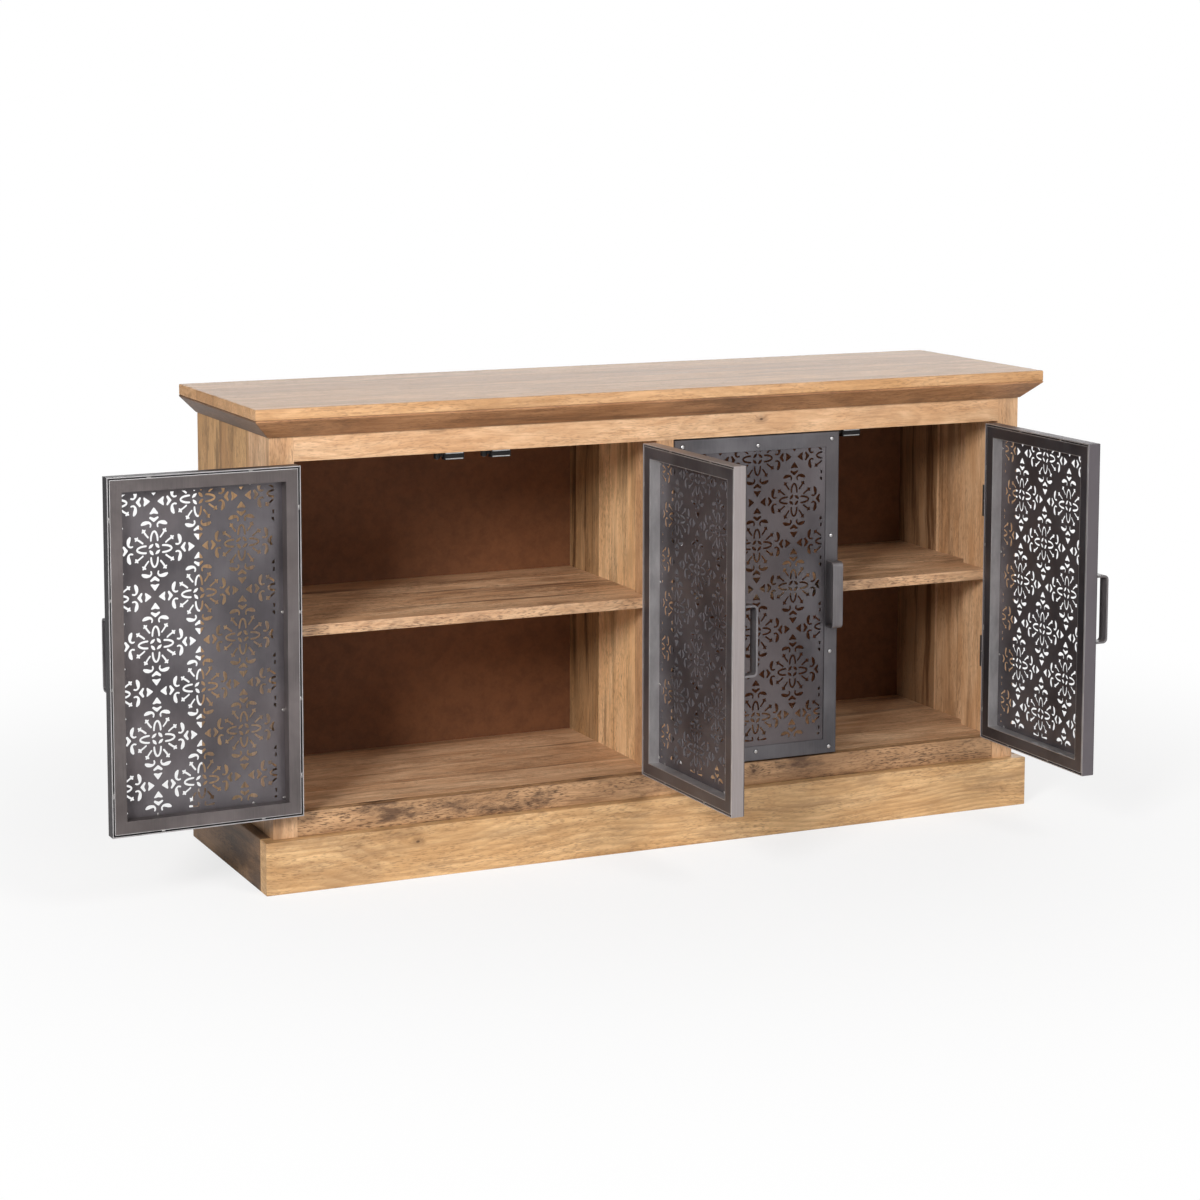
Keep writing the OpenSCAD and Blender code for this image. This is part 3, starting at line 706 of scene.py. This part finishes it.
bud = lobed(18.6, 31.4, 3.7, 1.0, math.radians(54))

cuts = [(shape, (1,)) for shape in (spear, chevron, loop, petal)]
cuts += [(shape, (1, -1)) for shape in (leaf, stem, bud)]

rosette = []
for quarter in range(4):
    turn = Matrix.Rotation(quarter * math.pi / 2, 2)
    for shape, sides in cuts:
        for side in sides:
            outline = [turn @ Vector((side * x, y)) for x, y in shape]
            area = sum(a.cross(b) for a, b in zip(outline, outline[1:] + outline[:1]))
            rosette.append(outline if area > 0 else outline[::-1])

mm = 0.001
lattice_u = 0.0785
lattice_z = 0.0822
lattice_columns = range(-2, 3)
lattice_rows = range(-1, 8)
field_half_w = 0.1385
first_row = 0.015
field_h = 0.5535
field_top = 0.0285
sheet_inset = 0.002
sheet_front = face_n + fold_t
sheet_t = 0.0015
same_spot = 1e-7


def cut_sheet(shift_u, shift_z):
    """The sheet's mesh. A face inside both the cut field and a rosette's hole is left out."""
    top = door_h - field_top + shift_z
    left = middle_u + shift_u - field_half_w
    right = middle_u + shift_u + field_half_w
    bottom = top - field_h
    edge_u = (near_u + sheet_inset, far_u - sheet_inset)
    edge_z = (sheet_inset, door_h - sheet_inset)
    points = [Vector((u, z)) for u, z in (
        (edge_u[0], edge_z[0]), (edge_u[1], edge_z[0]), (edge_u[1], edge_z[1]), (edge_u[0], edge_z[1]),
        (left, bottom), (right, bottom), (right, top), (left, top))]
    outlines = [[0, 1, 2, 3], [4, 5, 6, 7]]
    for column in lattice_columns:
        for row in lattice_rows:
            if (column + row) % 2:
                continue
            middle = Vector((
                middle_u + shift_u + column * lattice_u, top - first_row - row * lattice_z))
            for shape in rosette:
                spots = [middle + spot * mm for spot in shape]
                if any(left < p.x < right and bottom < p.y < top for p in spots):
                    outlines.append(list(range(len(points), len(points) + len(spots))))
                    points += spots
    found, _, faces, _, _, owners = delaunay_2d_cdt(points, [], outlines, 1, same_spot)
    bm = bmesh.new()
    verts = [bm.verts.new((p.x, sheet_front, p.y)) for p in found]
    for face, owner in zip(faces, owners):
        if 0 in owner and not (1 in owner and len(owner) > 2):
            bm.faces.new([verts[i] for i in face])
    bmesh.ops.delete(bm, geom=[v for v in bm.verts if not v.link_faces], context="VERTS")
    thick = bmesh.ops.extrude_face_region(bm, geom=bm.faces[:])["geom"]
    moved = [v for v in thick if isinstance(v, bmesh.types.BMVert)]
    bmesh.ops.translate(bm, verts=moved, vec=(0, sheet_t, 0))
    bmesh.ops.recalc_face_normals(bm, faces=bm.faces)
    return bm


sheet_shifts = ((0.006, -0.005), (-0.002, -0.001), (0.0, 0.0), (0.0, -0.003))
for number, (door, shift) in enumerate(zip(doors, sheet_shifts)):
    finish = steel(
        f"{door.name}_sheet_steel", tint(78, 74, 77), tint(124, 119, 122), tint(112, 101, 100),
        number * 2.9 + 11, brush=0.6)
    door.hang("cut_sheet", cut_sheet(*shift), "sheet", "sheet_steel", finish)


# ---- Doors: inner frames ----
# A welded frame of steel angle stiffens each door from behind, with a gap between it and the outer
# rim. Its tone differs a little from door to door, and the fourth door's darker tone is painted
# shade. Painted highlight lines run along one or both of its edges.
angle_w = 0.022
angle_t = 0.002
angle_in = 0.0045
angle_ease = 0.0004
inner_edge = angle_in + angle_w
angle_back = back_n - 0.001
sheet_back = sheet_front + sheet_t
angle_profile = [
    (angle_in, angle_back), (inner_edge, angle_back), (inner_edge, sheet_back),
    (inner_edge - angle_t, sheet_back), (inner_edge - angle_t, angle_back - angle_t),
    (angle_in, angle_back - angle_t)]
both_edges = (angle_in, inner_edge)
angle_looks = (
    (tint(90, 85, 85), tint(136, 127, 126), (angle_in,)),
    (tint(82, 80, 84), tint(132, 130, 134), both_edges),
    (tint(82, 80, 84), tint(132, 130, 134), both_edges),
    # The fourth door's darker angle is painted shade.
    (tint(62, 60, 63), tint(104, 102, 107), both_edges))
for number, (door, (dark, light, highlight_lines)) in enumerate(zip(doors, angle_looks)):
    finish = steel(
        f"{door.name}_angle_steel", dark, light, tint(106, 96, 93), number * 5.3 + 4,
        rough=0.36, highlight_lines=highlight_lines)
    ring = swept_ring(angle_profile)
    soften(door.hang("angle_frame", ring, "inner_frame", "inner_steel", finish), angle_ease)


# ---- Doors: weld tacks ----
# Small bright beads of weld, left unground. Some bridge the gap between rim and inner frame, and
# others hold the sheet to the inner frame near its corners and along its sides.
def bead(bm, spot, size, chance):
    """Adds a slightly lumpy bead."""
    made = bmesh.ops.create_icosphere(bm, subdivisions=2, radius=0.5)["verts"]
    for vert in made:
        lump = 1 + chance.uniform(-0.16, 0.16)
        vert.co = Vector(vert.co[i] * size[i] * lump + spot[i] for i in range(3))


weld = Finish("weld_metal", Metallic=1.0)
weld_u, weld_n, weld_z = weld.place()
weld_cloud = weld.noise(weld_u * 420, weld_n * 420, weld_z * 420, 3.0, 0.7)
weld.feed(
    Base_Color=weld.mix(weld_cloud, tint(214, 212, 210), tint(132, 126, 124)),
    Roughness=0.25 + weld_cloud * 0.3)
weld.bump(weld_cloud, 0.0003, 0.6)
gap_middle = (fold_t + angle_in) / 2
gap_n = angle_back - 0.001
bead_w = 0.003
bead_t = 0.0022
bead_length = (0.006, 0.012)
tack_t = 0.002
tack_n = sheet_back + 0.0004
tack_out = inner_edge + 0.0015
for number, door in enumerate(doors):
    chance = random.Random(40 + number)
    bm = bmesh.new()
    for share in (0.12, 0.34, 0.61, 0.88):
        z = door_h * share + chance.uniform(-0.02, 0.02)
        size = (bead_w, bead_t, chance.uniform(*bead_length))
        bead(bm, (near_u + gap_middle, gap_n, z), size, chance)
        bead(bm, (far_u - gap_middle, gap_n, door_h - z), size, chance)
    for share in (0.25, 0.72):
        u = near_u + door_w * share + chance.uniform(-0.03, 0.03)
        size = (chance.uniform(*bead_length), bead_t, bead_w)
        bead(bm, (u, gap_n, gap_middle), size, chance)
        bead(bm, (far_u + near_u - u, gap_n, door_h - gap_middle), size, chance)
    for share in (0.045, 0.29, 0.6, 0.94):
        z = door_h * share + chance.uniform(-0.012, 0.012)
        for u in (near_u + tack_out, far_u - tack_out):
            size = (chance.uniform(0.004, 0.009), tack_t, chance.uniform(0.003, 0.006))
            bead(bm, (u, tack_n, z), size, chance)
    for share in (0.22, 0.78):
        u = near_u + door_w * share + chance.uniform(-0.03, 0.03)
        for z in (tack_out, door_h - tack_out):
            size = (chance.uniform(0.004, 0.007), tack_t, chance.uniform(0.004, 0.007))
            bead(bm, (u, tack_n, z), size, chance)
    door.hang("weld_tacks", bm, None, "inner_steel", weld, smooth=True)


# ---- Doors: rivets ----
# Ten domed steel rivets through each border and sheet, with flattened tails behind. Their domes
# carry a painted highlight on top and a painted shadow round the foot.
def turned(bm, profile, centre, sides=24):
    """Adds a turned shape whose axis runs along n. The profile is (radius, n) points."""
    rings = []
    for radius, n in profile:
        if radius == 0:
            rings.append([bm.verts.new((centre[0], n, centre[1]))] * sides)
            continue
        rings.append([bm.verts.new((
            centre[0] + radius * math.cos(t), n, centre[1] + radius * math.sin(t)))
            for t in spread(0, 2 * math.pi, sides)[:-1]])
    for a, b in zip(rings, rings[1:]):
        for i in range(sides):
            corners = list(dict.fromkeys((a[i], a[i - 1], b[i - 1], b[i])))
            if len(corners) > 2:
                bm.faces.new(corners)


rivet_r = 0.0044
rivet_dome = 0.0022
rivet_shank = 0.002
tail_r = 0.003
tail_t = 0.001
rivet_in = 0.016
rivet_end = 0.013
rivet_middle = 0.018
rivet_share = 0.32
dome_r = (rivet_r ** 2 + rivet_dome ** 2) / (2 * rivet_dome)
dome_turn = math.asin(rivet_r / dome_r)
dome_profile = [(0, face_n - rivet_dome)] + [
    (dome_r * math.sin(t), face_n - rivet_dome + dome_r * (1 - math.cos(t)))
    for t in spread(0, dome_turn, 6)[1:]]
rivet_profile = dome_profile + [
    (rivet_shank, face_n), (rivet_shank, sheet_back), (tail_r, sheet_back),
    (tail_r, sheet_back + tail_t), (0, sheet_back + tail_t)]
rivet_finish = Finish("rivet_steel_painted_light", Metallic=0.9)
rivet_u, rivet_n, rivet_z = rivet_finish.place()
rivet_cloud = rivet_finish.noise(rivet_u * 300, rivet_n * 300, rivet_z * 300, 3.0)
# Painted highlight on the dome's top, fading to a painted shadow round its foot.
rivet_top = 1 - rivet_finish.ramp(rivet_n, face_n - rivet_dome * 0.6, face_n - rivet_dome * 0.15)
rivet_painted_light = rivet_top * (0.6 + rivet_cloud * 0.6)
rivet_finish.feed(
    Base_Color=rivet_finish.mix(rivet_painted_light, tint(48, 46, 48), tint(212, 210, 210)),
    Roughness=0.3 + rivet_cloud * 0.2)
for door in doors:
    bm = bmesh.new()
    spots = [
        (u, z) for u in (near_u + rivet_in, far_u - rivet_in)
        for z in (rivet_end, door_h * rivet_share, door_h * (1 - rivet_share), door_h - rivet_end)]
    spots += [(middle_u, rivet_middle), (middle_u, door_h - rivet_middle)]
    for spot in spots:
        turned(bm, rivet_profile, spot)
    bmesh.ops.recalc_face_normals(bm, faces=bm.faces)
    door.hang("domed_rivets", bm, "rivets", "rivet_steel", rivet_finish, smooth=True)


# ---- Doors: handles ----
# A flat steel strap bent into a square bow and welded to the border by its two feet, near the
# free edge at half height.
handle_w = 0.022
handle_t = 0.004
handle_r = 0.009
handle_in = 0.014
handle_ease = 0.0005
shut_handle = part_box("door_3_handle")
handle_h = shut_handle[1].z - shut_handle[0].z
handle_out = shut_handle[1].y - shut_handle[0].y
handle_foot = shut_handle[0].z - shut_low.z


def bow(inset, radius):
    """The strap's outline seen from the side, from the lower foot round to the upper one. The outer
    line has no inset, and the inner one is inset by the strap's thickness."""
    front = face_n - handle_out + inset
    low, high = handle_foot + inset, handle_foot + handle_h - inset
    path = [(face_n, low)]
    path += [(front + radius * (1 - math.sin(t)), low + radius * (1 - math.cos(t)))
             for t in spread(0, math.pi / 2, 6)]
    path += [(front + radius * (1 - math.cos(t)), high - radius * (1 - math.sin(t)))
             for t in spread(0, math.pi / 2, 6)]
    return path + [(face_n, high)]


for number, door in enumerate(doors):
    bm = bmesh.new()
    outer, inner = bow(0, handle_r), bow(handle_t, handle_r - handle_t)
    left_u = far_u - handle_in - handle_w / 2
    rows = [[[bm.verts.new((u, n, z)) for n, z in path] for path in (outer, inner)]
            for u in (left_u, left_u + handle_w)]
    for i in range(len(outer) - 1):
        for path in (0, 1):
            a, b = rows[0][path], rows[1][path]
            bm.faces.new((a[i], a[i + 1], b[i + 1], b[i]))
        for row in rows:
            bm.faces.new((row[0][i], row[0][i + 1], row[1][i + 1], row[1][i]))
    for end in (0, -1):
        bm.faces.new((rows[0][0][end], rows[1][0][end], rows[1][1][end], rows[0][1][end]))
    bmesh.ops.recalc_face_normals(bm, faces=bm.faces)
    finish = steel(
        f"{door.name}_handle_steel", tint(100, 97, 100), tint(156, 152, 154), tint(126, 118, 116),
        number * 1.7 + 21, rough=0.36)
    soften(door.hang("strap_handle", bm, "handle", "handle_steel", finish), handle_ease)


# ---- Hinges ----
# Steel butt hinges, two to a door: one leaf is screwed to the post or stile, and the other is
# welded inside the door's rim. Plain dark steel, dusty and unpolished, as are the catches' screws.
hinge_steel = steel(
    "hinge_steel_dark", tint(66, 63, 64), tint(112, 108, 108), tint(92, 84, 82), 31, rough=0.45)
for node in ["catch_screws", "frame_hinge_leaves"] + [f"{door.name}_hinge_leaves" for door in doors]:
    hinge_steel.give(frame["nodes"][node])
